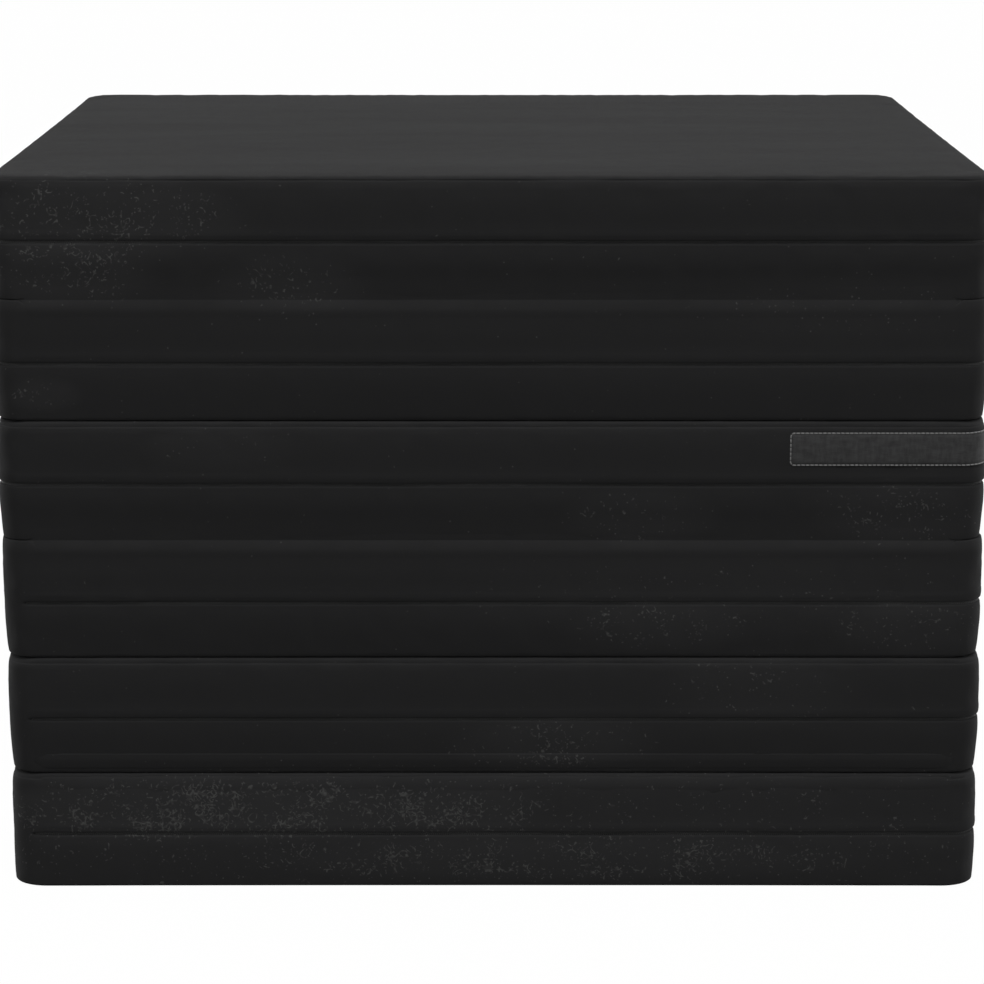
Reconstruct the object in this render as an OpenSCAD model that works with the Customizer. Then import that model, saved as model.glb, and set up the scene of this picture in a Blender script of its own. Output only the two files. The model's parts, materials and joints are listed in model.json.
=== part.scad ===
// Folding sofa bed, closed: six foam panels in zipped cloth covers, stacked and joined in a chain by
// cloth hinge strips. The strips lie in turn at the front and at the back, so the stack opens flat.
// Millimetres. +Z is up, the front is at -Y, and the origin is on the floor under the stack's middle.
// Panel 1 is the top one and panel 6 the bottom one.

/* [Panels] */
// Width of a panel, from side to side
panel_w = 802; // [600:2:1000]
// Depth of a panel, from front to back
panel_d = 650; // [500:5:800]
// Thickness of a panel in its cover
panel_t = 98.6; // [80:0.2:130]
// Gap between two stacked panels
panel_gap = 0.4; // [0.3:0.1:1]
// Most that a panel is shifted sideways in the stack
sideways_shift = 1.5; // [0:0.5:4]

/* [Cushion form] */
// Radius of the long edges round the top and bottom faces
edge_r = 7; // [5:0.5:12]
// Radius of the corners, seen from above
corner_r = 22; // [14:1:32]
// How far the sides bow out between their two edges
side_bow = 2.5; // [1:0.5:5]
// How far the faces fall towards their edges
face_fall = 1; // [0.5:0.25:3]
// Width of the border over which the faces fall
fall_w = 70; // [40:5:120]
// How far the edges are drawn in halfway along each side
edge_draw = 1; // [0:0.25:2]

/* [Cover and core] */
// Thickness of the cover cloth with its lining
cover_wall = 2; // [1.5:0.25:3]
// Radius of the foam block's corners, seen from above
core_corner_r = 36; // [34:1:50]
// Clearance between pieces that lie in or on a cover
fit_gap = 0.3; // [0.2:0.05:0.5]

/* [Zip] */
// Height of the zip above the panel's underside
zip_z = 46.4; // [38:0.2:56]
// Height of the slit that the zip's coil shows through
slit_h = 2.4; // [1.8:0.2:3.2]
// Height of the zip's tape
tape_h = 13; // [10:0.5:16]
// Thickness of the zip's tape
tape_t = 0.8; // [0.6:0.1:1]
// Height of the zip's coil
coil_h = 4.4; // [4:0.2:6]
// Thickness of the zip's coil
coil_t = 1.6; // [1.2:0.1:1.8]
// Distance from the left side at which the zips of the lower panels start
zip_start = 19; // [10:1:60]
// Distance from the back at which all zips end
zip_rear = 60; // [40:5:150]

/* [Zip slider] */
// Length of a slider along the zip
slider_l = 11; // [8:0.5:15]
// Height of a slider across the zip
slider_h = 7.5; // [6:0.5:10]
// Thickness of a slider's outer plate
slider_t = 1.2; // [1:0.1:1.6]

/* [Hinge strips] */
// Thickness of a hinge strip
strip_t = 0.8; // [0.6:0.1:1.2]
// How far a strip reaches up and down from its fold
strip_reach = 17; // [15:0.5:24]
// Distance from a panel's side at which a strip ends
strip_end = 22; // [22:1:60]
// Depth of the groove that a taut strip leaves at its fold
taut_groove = 3.5; // [3:0.5:5]
// Depth of the crease that the tucked strip leaves at its fold
tucked_groove = 6.5; // [4:0.5:6.5]
// Gap between the two leaves of a strip at their fold
leaf_gap = 0.3; // [0.2:0.1:0.5]

/* [Patch] */
// Length of the patch along the front, up to the corner
patch_front = 160; // [60:2:250]
// Length of the patch along the right side, from the corner
patch_side = 58; // [20:2:120]
// Height of the patch
patch_h = 27; // [15:1:30]
// Distance from the panel's top to the patch
patch_drop = 9; // [7:0.5:12]
// Thickness of the patch
patch_t = 0.6; // [0.4:0.1:0.8]

/* [Hidden] */
// Number of panels, and the number of the bottom one
panels = 6;
// Each panel's place sideways, as a share of the largest shift
shift_shares = [-1, -0.7, -0.4, 0.2, 1, 1];
// Height from one panel to the next
pitch = panel_t + panel_gap;
// How much the corners open out towards the middle of the faces, for each length inwards
corner_soft_share = 0.3;
// Panels from this one down have a zip that starts at the left corner
first_short_zip = 4;

// Points on each quarter turn of a ring, besides its first
corner_steps = 4;
// Points between two corners of a ring
side_steps = 3;
// Rings on half of the side, on each edge's round and on each face's border
bow_steps = 2;
edge_steps = 4;
fall_steps = 3;
// Points on the round of a strip, and rows on the patch
strip_steps = 5;
patch_steps = 5;
// Facets of a full circle on outlines and corners
round_fn = 96;

// Height at which the upper and lower cloth of a cover meet
split_z = zip_z + slit_h / 2;
// Depths under the side's outermost point of the cavity, the tape and the coil
cavity_depth = side_bow + cover_wall;
tape_depth = cavity_depth - tape_t;
coil_depth = tape_depth - coil_t;
// Cavity in the cover, and the foam block that fills it
cavity_z = face_fall + cover_wall;
cavity_edge_r = edge_r - cover_wall;
core_inset = cavity_depth + fit_gap;
core_z = cavity_z + fit_gap;
// Heights at which the edges' rounds start, and how far the side is drawn in there
edge_z = face_fall + edge_r;
edge_inset = bow_inset(edge_z);
// Overrun of every cut
over = 1;
// Length of a hinge strip
strip_l = panel_w - 2 * strip_end;

// The hinge strip between panel n and the next one down
function strip_name(n, leaf) = str("hinge_strip_", n, "_", n + 1, "_", leaf);

// Height of panel n's underside, and its place sideways
function panel_z(n) = (panels - n) * pitch;
function panel_x(n) = sideways_shift * shift_shares[n - 1];

// How far the side lies in from its outermost point, at a height on its bow
function bow_inset(z) = side_bow * pow(2 * z / panel_t - 1, 2);

// Rings from a start height to the top face: [distance in from the side, height, share of the edge's draw]
function bow_rings(z0) = [
    for (i = [0:bow_steps - 1])
        let (z = z0 + (panel_t - edge_z - z0) * i / bow_steps)
        [bow_inset(z), z, i / bow_steps]
];
function edge_rings() = [
    for (i = [0:edge_steps])
        let (a = 90 * i / edge_steps)
        [edge_inset + edge_r * (1 - cos(a)), panel_t - edge_z + edge_r * sin(a), 1]
];
function fall_rings() = [
    for (i = [1:fall_steps])
        let (s = i / fall_steps)
        [edge_inset + edge_r + fall_w * s, panel_t - face_fall * pow(1 - s, 2), 1 - s]
];
function half_rings(z0) = concat(bow_rings(z0), edge_rings(), fall_rings());

// One ring's points: four rounded corners with drawn-in sides between them
function ring_points(ring) =
    let (
        inset = ring[0],
        r = corner_r + corner_soft_share * inset,
        half_w = panel_w / 2 - inset,
        half_d = panel_d / 2 - inset,
        centres = [
            [half_w - r, half_d - r],
            [r - half_w, half_d - r],
            [r - half_w, r - half_d],
            [half_w - r, r - half_d]
        ],
        corners = [
            for (q = [0:3])
                [for (i = [0:corner_steps]) centres[q] + r * turn(90 * (q + i / corner_steps))]
        ]
    )
    [
        for (q = [0:3], i = [0:corner_steps + side_steps])
            let (
                s = (i - corner_steps) / (side_steps + 1),
                from = corners[q][corner_steps],
                to = corners[(q + 1) % 4][0],
                drawn = edge_draw * ring[2] * 4 * s * (1 - s),
                p = i <= corner_steps ? corners[q][i] : from + (to - from) * s - drawn * turn(90 * (q + 1))
            )
            [p[0], p[1], ring[1]]
    ];
function turn(a) = [cos(a), sin(a)];

// A closed solid through rings of like counts, from the lowest ring up, with a point in the middle of each end
module lofted(rings) {
    count = len(rings[0]);
    top = len(rings) - 1;
    middles = [for (k = [0, top]) [0, 0, rings[k][0][2]]];
    low_middle = len(rings) * count;
    sides = [
        for (k = [0:top - 1], i = [0:count - 1])
            let (a = k * count + i, b = k * count + (i + 1) % count)
            each [[a, b + count, b], [a, a + count, b + count]]
    ];
    ends = [
        for (i = [0:count - 1])
            let (j = (i + 1) % count)
            each [[low_middle, i, j], [low_middle + 1, top * count + j, top * count + i]]
    ];
    polyhedron(points = concat([for (ring = rings) each ring], middles), faces = concat(sides, ends));
}

// The crowned outer form of a panel, from a height up to its top face
module form_above(z0) {
    lofted([for (ring = half_rings(z0)) ring_points(ring)]);
}

// The same form turned over: from the underside up to a height
module form_below(z1) {
    translate([0, 0, panel_t])
        mirror([0, 0, 1])
            form_above(panel_t - z1);
}

// Rounded outline of a panel, moved inwards, with its own corner radius
module outline(inset, r) {
    w = panel_w - 2 * inset;
    d = panel_d - 2 * inset;
    square([w, d - 2 * r], center = true);
    square([w - 2 * r, d], center = true);
    for (x = [-1, 1], y = [-1, 1])
        translate([x * (w / 2 - r), y * (d / 2 - r)])
            circle(r = r, $fn = round_fn);
}

// Outline of a block's section with rounded edges, standing on its base height
module section(half, low, high, r) {
    translate([-half, low + r])
        square([2 * half, high - low - 2 * r]);
    translate([r - half, low])
        square([2 * (half - r), high - low]);
    for (x = [-1, 1], z = [low + r, high - r])
        translate([x * (half - r), z])
            circle(r = r, $fn = round_fn);
}

// Block with rounded edges: the foam block, or the cavity for it, by its distance in from the form
module block(inset, low) {
    high = panel_t - low;
    intersection() {
        translate([0, 0, low])
            linear_extrude(high - low)
                outline(inset, core_corner_r);
        rotate([90, 0, 0])
            linear_extrude(panel_d, center = true)
                section(panel_w / 2 - inset, low, high, cavity_edge_r);
        rotate([90, 0, 90])
            linear_extrude(panel_w, center = true)
                section(panel_d / 2 - inset, low, high, cavity_edge_r);
    }
}

// The stretch of a panel's edge along which its zip runs, seen from above
module zip_run(n) {
    left = n < first_short_zip ? -panel_w : zip_start - panel_w / 2;
    translate([left, -panel_d])
        square([panel_w - left, 1.5 * panel_d - zip_rear]);
}

// Band that follows the zip's run, between two depths and two heights
module zip_band(n, outer, inner, low, high) {
    translate([0, 0, low])
        linear_extrude(high - low)
            intersection() {
                difference() {
                    outline(outer, corner_r - outer);
                    outline(inner, corner_r - inner);
                }
                zip_run(n);
            }
}

// Pocket behind the flap for the zip's tape and coil
module zip_pocket(n) {
    zip_band(n, tape_depth - fit_gap, cavity_depth + over, zip_z - tape_h / 2 - fit_gap, zip_z + tape_h / 2 + fit_gap);
    zip_band(n, coil_depth - fit_gap, cavity_depth + over, zip_z - coil_h / 2 - fit_gap, zip_z + coil_h / 2 + fit_gap);
}

// Foam block of panel n
module foam_core(n) {
    color([0.86, 0.84, 0.76])
        at_panel(n)
            block(core_inset, core_z);
}

// Upper cloth of panel n's cover, down to the flap over the zip
module cover_top(n) {
    color([0.13, 0.13, 0.135])
        at_panel(n)
            difference() {
                form_above(split_z);
                block(cavity_depth, cavity_z);
                zip_pocket(n);
            }
}

// Lower cloth of panel n's cover, with the slit cut along the zip
module cover_base(n) {
    color([0.11, 0.11, 0.115])
        at_panel(n)
            difference() {
                form_below(split_z);
                block(cavity_depth, cavity_z);
                zip_pocket(n);
                zip_band(n, -over, coil_depth, zip_z - slit_h / 2, split_z + over);
            }
}

// Zip of panel n: the tape, and the coil in front of it
module zip(n) {
    color([0.05, 0.05, 0.05])
        at_panel(n) {
            zip_band(n, tape_depth, cavity_depth, zip_z - tape_h / 2, zip_z + tape_h / 2);
            zip_band(n, coil_depth, tape_depth, zip_z - coil_h / 2, zip_z + coil_h / 2);
        }
}

// Slider of panel n's zip, closed: an outer plate that tapers forwards, on a neck through the slit
module zip_slider(n) {
    neck_h = slit_h - 2 * fit_gap;
    neck_in = coil_depth - fit_gap;
    rear_y = panel_d / 2 - zip_rear - fit_gap;
    nose_r = slider_h / 4;
    color([0.2, 0.2, 0.2])
        at_panel(n)
            translate([panel_w / 2, rear_y, zip_z]) {
                translate([-neck_in, -slider_l, -neck_h / 2])
                    cube([neck_in + fit_gap + slider_t / 2, slider_l, neck_h]);
                translate([fit_gap, 0, 0])
                    rotate([90, 0, 90])
                        linear_extrude(slider_t)
                            slider_outline(nose_r);
            }
}

// Outline of a slider's plate, from its rear end forwards
module slider_outline(nose_r) {
    shoulder = slider_l - nose_r;
    polygon([
        [0, -slider_h / 2 + nose_r],
        [0, slider_h / 2 - nose_r],
        [-nose_r, slider_h / 2],
        [-shoulder / 2, slider_h / 2],
        [-shoulder, nose_r],
        [-shoulder, -nose_r],
        [-shoulder / 2, -slider_h / 2],
        [-nose_r, -slider_h / 2]
    ]);
    translate([-shoulder, 0])
        circle(r = nose_r, $fn = round_fn);
}

// One leaf of the strip between panels n and n + 1, drawn on the upper panel and mirrored for the lower one
module hinge_strip(n, leaf) {
    owner = leaf == "upper" ? n : n + 1;
    groove = n == panels - 1 ? tucked_groove : taut_groove;
    color([0.12, 0.12, 0.125])
        translate([panel_x(owner), 0, panel_z(n) - panel_gap / 2])
            mirror([0, n % 2, 0])
                mirror([0, 0, leaf == "upper" ? 0 : 1])
                    rotate([90, 0, 90])
                        linear_extrude(strip_l, center = true)
                            polygon(strip_points(groove));
}

// Outline of a leaf on the back, from its fold up the panel's edge: its outer side, then its inner side
function strip_points(groove) = concat(
    strip_side(groove, fit_gap + strip_t),
    [for (i = [strip_steps + 2:-1:0]) strip_side(groove, fit_gap)[i]]
);

// One side of a leaf, at a distance outside the panel's cloth
function strip_side(groove, off) =
    let (
        last = acos(1 - (groove - edge_inset) / edge_r),
        low = panel_gap / 2 + edge_z,
        fold = panel_d / 2 - edge_inset - edge_r + (edge_r + off) * cos(last)
    )
    concat(
        [[fold, leaf_gap / 2]],
        [
            for (i = [strip_steps:-1:0])
                let (a = last * i / strip_steps)
                [panel_d / 2 - edge_inset - edge_r + (edge_r + off) * cos(a), low - (edge_r + off) * sin(a)]
        ],
        [[panel_d / 2 - bow_inset(strip_reach) + off, strip_reach + panel_gap / 2]]
    );

// Bare cloth patch on the front of the third panel, round its right corner
module patch() {
    color([0.16, 0.16, 0.165])
        at_panel(3)
            translate([panel_w / 2 - corner_r, corner_r - panel_d / 2, 0]) {
                rotate([90, 0, -90])
                    linear_extrude(patch_front - corner_r)
                        polygon([for (p = patch_section()) [p[0], p[1]]]);
                rotate([0, 0, -90])
                    rotate_extrude(angle = 90, $fn = round_fn)
                        polygon(patch_section());
                rotate([90, 0, 180])
                    mirror([1, 0, 0])
                        linear_extrude(patch_side)
                            polygon(patch_section());
            }
}

// How far the side lies in from its outermost point, at a height on its bow or on the upper round
function side_inset(z) =
    let (up = max(z - (panel_t - edge_z), 0))
    up > 0 ? edge_inset + edge_r - sqrt(pow(edge_r, 2) - pow(up, 2)) : bow_inset(z);

// Section of the patch, measured outwards from the corner's centre
function patch_section() =
    let (
        rows = [
            for (i = [0:patch_steps])
                let (z = panel_t - patch_drop - patch_h * i / patch_steps)
                [corner_r - side_inset(z) + fit_gap, z]
        ]
    )
    concat(rows, [for (i = [patch_steps:-1:0]) rows[i] + [patch_t, 0]]);

// Moves a shape from a panel's own frame to panel n's place
module at_panel(n) {
    translate([panel_x(n), 0, panel_z(n)])
        children();
}

for (n = [1:panels]) {
    foam_core(n);
    cover_top(n);
    cover_base(n);
    zip(n);
    zip_slider(n);
}
for (n = [1:panels - 1], leaf = ["upper", "lower"])
    hinge_strip(n, leaf);
patch();
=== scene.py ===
"""Folding sofa bed, closed: six foam panels in zipped cloth covers, joined in a chain by cloth hinge strips.

Metres, in the part's own frame: +Z is up, the front is at -Y, and panel 1 is the top one.
"""

import json
import logging
import math
from dataclasses import dataclass
from enum import Enum
from typing import NamedTuple

import bmesh
import bpy
import numpy as np
from mathutils import Matrix, Vector
from mathutils.kdtree import KDTree

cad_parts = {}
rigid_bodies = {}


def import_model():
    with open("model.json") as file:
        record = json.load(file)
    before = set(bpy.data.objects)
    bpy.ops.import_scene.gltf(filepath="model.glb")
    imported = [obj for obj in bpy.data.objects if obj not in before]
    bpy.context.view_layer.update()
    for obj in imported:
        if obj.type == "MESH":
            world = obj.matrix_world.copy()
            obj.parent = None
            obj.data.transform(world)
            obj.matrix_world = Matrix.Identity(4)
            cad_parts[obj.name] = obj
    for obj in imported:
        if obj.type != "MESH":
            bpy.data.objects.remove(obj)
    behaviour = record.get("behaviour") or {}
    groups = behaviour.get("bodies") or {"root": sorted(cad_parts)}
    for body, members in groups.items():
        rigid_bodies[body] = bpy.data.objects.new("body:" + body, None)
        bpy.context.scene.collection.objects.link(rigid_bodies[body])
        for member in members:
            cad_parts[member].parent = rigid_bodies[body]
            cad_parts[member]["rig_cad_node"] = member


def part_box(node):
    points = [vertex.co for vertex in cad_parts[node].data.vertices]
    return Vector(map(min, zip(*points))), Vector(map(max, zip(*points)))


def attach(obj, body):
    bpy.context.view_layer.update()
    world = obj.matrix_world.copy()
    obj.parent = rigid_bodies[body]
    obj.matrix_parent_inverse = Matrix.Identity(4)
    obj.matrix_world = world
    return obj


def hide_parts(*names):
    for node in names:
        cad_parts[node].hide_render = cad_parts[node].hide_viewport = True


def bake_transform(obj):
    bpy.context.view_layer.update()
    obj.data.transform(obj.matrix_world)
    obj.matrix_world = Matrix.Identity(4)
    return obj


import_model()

LOG = logging.getLogger("sofa_bed")
MM = 0.001
PANELS = 6
# The creases that a taut strip bridges, each by the number of the panel above it.
TAUT_CREASES = range(1, PANELS - 1)
# How far before the side's rear end every zip stops, and how far from the front's left end a short one starts.
ZIP_STOP, ZIP_START = 0.060, 0.019
# How many values a random series has before it repeats.
SERIES = 4096


class Border(Enum):
    """Which face of the stack a hinge strip lies on."""

    FRONT = -1
    BACK = 1


class Tension(Enum):
    """How a hinge strip crosses its crease in the closed stack."""

    TAUT = "taut"
    TUCKED = "tucked"


class Stretch(Enum):
    """How far round a panel its zip runs."""

    BOTH_SIDES = "both sides"
    RIGHT_SIDE = "right side"


def smooth_step(t: np.ndarray) -> np.ndarray:
    """Returns a ramp from 0 to 1 with soft ends."""
    t = np.clip(t, 0.0, 1.0)
    return t * t * (3.0 - 2.0 * t)


def fade(off: np.ndarray, width: float, power: float = 1.0) -> np.ndarray:
    """Returns a share that falls from 1 at nothing to 0 at a width."""
    return np.clip(1.0 - off / width, 0.0, 1.0) ** power


def drift(s: np.ndarray, step: float, seed: int) -> np.ndarray:
    """Gives soft random waves along a length.

    Args:
        s: Places along the length, in metres.
        step: Distance between two random values.
        seed: Number of the random series.

    Returns:
        Values between -1 and 1.
    """
    values = np.random.default_rng(seed).uniform(-1.0, 1.0, SERIES)
    t = s / step + SERIES / 4
    low = np.floor(t).astype(int)
    w = smooth_step(t - low)
    return values[low % SERIES] * (1.0 - w) + values[(low + 1) % SERIES] * w


def waves(s: np.ndarray, seed: int, *parts: tuple[float, float]) -> np.ndarray:
    """Returns a sum of soft random waves, each given by its size and its step."""
    return sum(size * drift(s, step, seed + k) for k, (size, step) in enumerate(parts))


def panel_origin(number: int) -> np.ndarray:
    """Returns the place in the stack of a panel's own frame, in the middle of its underside."""
    low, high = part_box(f"cover_base_{number}")[0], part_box(f"cover_top_{number}")[1]
    return np.array([(low.x + high.x) / 2.0, 0.0, low.z])


def as_mesh(bm: bmesh.types.BMesh, name: str) -> bpy.types.Mesh:
    """Ends the making of a mesh.

    Args:
        bm: The mesh in the making, which is freed.
        name: The mesh's name.

    Returns:
        The mesh.
    """
    mesh = bpy.data.meshes.new(name)
    bm.to_mesh(mesh)
    bm.free()
    return mesh


def linked(name: str, data: bpy.types.ID) -> bpy.types.Object:
    """Puts a mesh, lamp or camera into the scene.

    Args:
        name: The new object's name.
        data: What it shows.

    Returns:
        The object, at the origin.
    """
    made = bpy.data.objects.new(name, data)
    bpy.context.scene.collection.objects.link(made)
    return made


def make_piece(
    mesh: bpy.types.Mesh, name: str, material: bpy.types.Material, body: str = "", smooth: bool = True
) -> bpy.types.Object:
    """Makes a piece from a mesh that is already in its place.

    Args:
        mesh: The mesh.
        name: The piece's name.
        material: Its finish.
        body: The body it rides on, if it rides on one alone.
        smooth: Whether its faces are shaded smooth.

    Returns:
        The piece.
    """
    mesh.name = name
    mesh.materials.clear()
    mesh.materials.append(material)
    mesh.polygons.foreach_set("use_smooth", np.full(len(mesh.polygons), smooth))
    piece = linked(name, mesh)
    if body:
        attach(piece, body)
    return piece


def dress_node(node: str, material: bpy.types.Material) -> None:
    """Gives a CAD node that stays in view its finish.

    Args:
        node: The node's name.
        material: The finish.
    """
    piece = next(o for o in bpy.context.scene.objects if o.get("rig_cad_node") == node)
    piece.data.materials.clear()
    piece.data.materials.append(material)


def places(mesh: bpy.types.Mesh) -> np.ndarray:
    """Reads where a mesh's vertices are.

    Args:
        mesh: The mesh.

    Returns:
        Rows of x, y and z.
    """
    co = np.empty(len(mesh.vertices) * 3, np.float64)
    mesh.vertices.foreach_get("co", co)
    return co.reshape(-1, 3)


def put(mesh: bpy.types.Mesh, co: np.ndarray) -> None:
    """Moves a mesh's vertices to the rows of an array."""
    mesh.vertices.foreach_set("co", np.ascontiguousarray(co, np.float64).ravel())
    mesh.update()


def lay_out(bm: bmesh.types.BMesh, spots: np.ndarray) -> None:
    """Moves a mesh in the making to the rows of an array, and turns its faces outwards.

    Args:
        bm: The mesh in the making.
        spots: A row for each of its vertices.
    """
    for vert, spot in zip(bm.verts, spots):
        vert.co = spot
    bmesh.ops.recalc_face_normals(bm, faces=bm.faces)


def stitch(radius: float, length: float, segments: int) -> bmesh.types.BMesh:
    """Makes one stitch of a round thread, laid along X.

    Args:
        radius: The thread's radius.
        length: The stitch's length.
        segments: How many sides the thread has.

    Returns:
        The stitch in the making.
    """
    bm = bmesh.new()
    bmesh.ops.create_cone(bm, cap_ends=True, segments=segments, radius1=radius, radius2=radius, depth=length)
    bmesh.ops.rotate(bm, verts=bm.verts[:], matrix=Matrix.Rotation(math.pi / 2.0, 3, "Y"))
    return bm


def repeated(bm: bmesh.types.BMesh, pitch: float, count: int) -> bpy.types.Mesh:
    """Sets copies of a small shape in a row along X.

    Args:
        bm: The shape, which is freed.
        pitch: The distance from one to the next.
        count: How many there are.

    Returns:
        The row's mesh, inside out: laying it round a panel, with Y outwards, turns its faces outwards again.
    """
    bmesh.ops.reverse_faces(bm, faces=bm.faces)
    single = as_mesh(bm, "single_shape")
    row = linked("row_of_shapes", single)
    array = row.modifiers.new("Row", "ARRAY")
    array.use_relative_offset, array.use_constant_offset = False, True
    array.constant_offset_displace = (pitch, 0.0, 0.0)
    array.count = count
    made = bpy.data.meshes.new_from_object(row.evaluated_get(bpy.context.evaluated_depsgraph_get()))
    bpy.data.objects.remove(row)
    bpy.data.meshes.remove(single)
    return made


@dataclass(frozen=True)
class PanelForm:
    """Outer form of a panel in its cover. Heights are above the panel's underside."""

    width: float = 0.802
    depth: float = 0.650
    thick: float = 0.0986
    corner_r: float = 0.022
    corner_soft: float = 0.3
    bow: float = 0.0025
    edge_r: float = 0.0062
    fall: float = 0.0005
    fall_w: float = 0.070
    draw: float = 0.001
    zip_z: float = 0.0464
    taut_depth: float = 0.0012
    deepest_taut: float = 0.0018
    taut_above: float = 0.046
    taut_below: float = 0.0125

    @property
    def half(self) -> float:
        """Returns half the panel's thickness."""
        return self.thick / 2.0

    @property
    def straight(self) -> tuple[float, float]:
        """Returns half the straight stretches of the front and of a side, between the corners' rounds."""
        return self.width / 2.0 - self.corner_r, self.depth / 2.0 - self.corner_r

    def bow_inset(self, z: float) -> float:
        """Returns how far the side lies in from its outermost point at a height."""
        return self.bow * (2.0 * z / self.thick - 1.0) ** 6

    def bow_tilt(self, z: float) -> float:
        """Returns how far the side's surface tilts upwards at a height, in radians."""
        return math.atan(12.0 * self.bow / self.thick * (2.0 * z / self.thick - 1.0) ** 5)

    def round_start(self) -> tuple[float, float]:
        """Finds where the upper edge's round starts on the bowed side.

        Returns:
            The height, and the side's tilt there in radians.
        """
        z, tilt = 0.0, 0.0
        for _ in range(4):
            z = self.thick - self.fall - self.edge_r * (1.0 - math.sin(tilt))
            tilt = self.bow_tilt(z)
        return z, tilt

    def wall_inset(self, z: np.ndarray) -> np.ndarray:
        """Returns the bow's inset of a place's wall, which ends where the edges' rounds start."""
        reach = self.round_start()[0] - self.half
        return self.bow_inset(self.half + np.clip(z - self.half, -reach, reach))

    def taut_inset(self, off: np.ndarray, above: bool, upper: int) -> np.ndarray:
        """Tells how far in the walls lie beside a crease that a taut strip bridges.

        Args:
            off: Height over or under the crease, as a positive distance.
            above: Whether it is the wall above the crease.
            upper: The number of the panel above the crease.

        Returns:
            The inset, which fades slowly upwards and fast downwards.
        """
        deep = self.deepest_taut if upper == 3 else self.taut_depth
        return deep * (fade(off, self.taut_above, 1.4) if above else fade(off, self.taut_below, 2.0))

    def draw_share(self, z: np.ndarray) -> np.ndarray:
        """Returns how much of the edges' draw a height gets: nothing at mid height, all at the edges."""
        return np.clip(np.abs(z - self.half) / (self.round_start()[0] - self.half), 0.0, 1.0) ** 5

    def on_round(self, angle: float) -> tuple[float, float]:
        """Finds a point of the upper edge's round.

        Args:
            angle: The surface's tilt upwards, in radians.

        Returns:
            How far the point lies in from the side's outermost point, and its height.
        """
        z, tilt = self.round_start()
        inset = self.bow_inset(z) + self.edge_r * (math.cos(tilt) - math.cos(angle))
        return inset, z + self.edge_r * (math.sin(angle) - math.sin(tilt))


class SideRow(NamedTuple):
    """One row of points round a panel's side: how far in it lies, its height, and its tilt in radians."""

    inset: float
    z: float
    tilt: float


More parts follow.
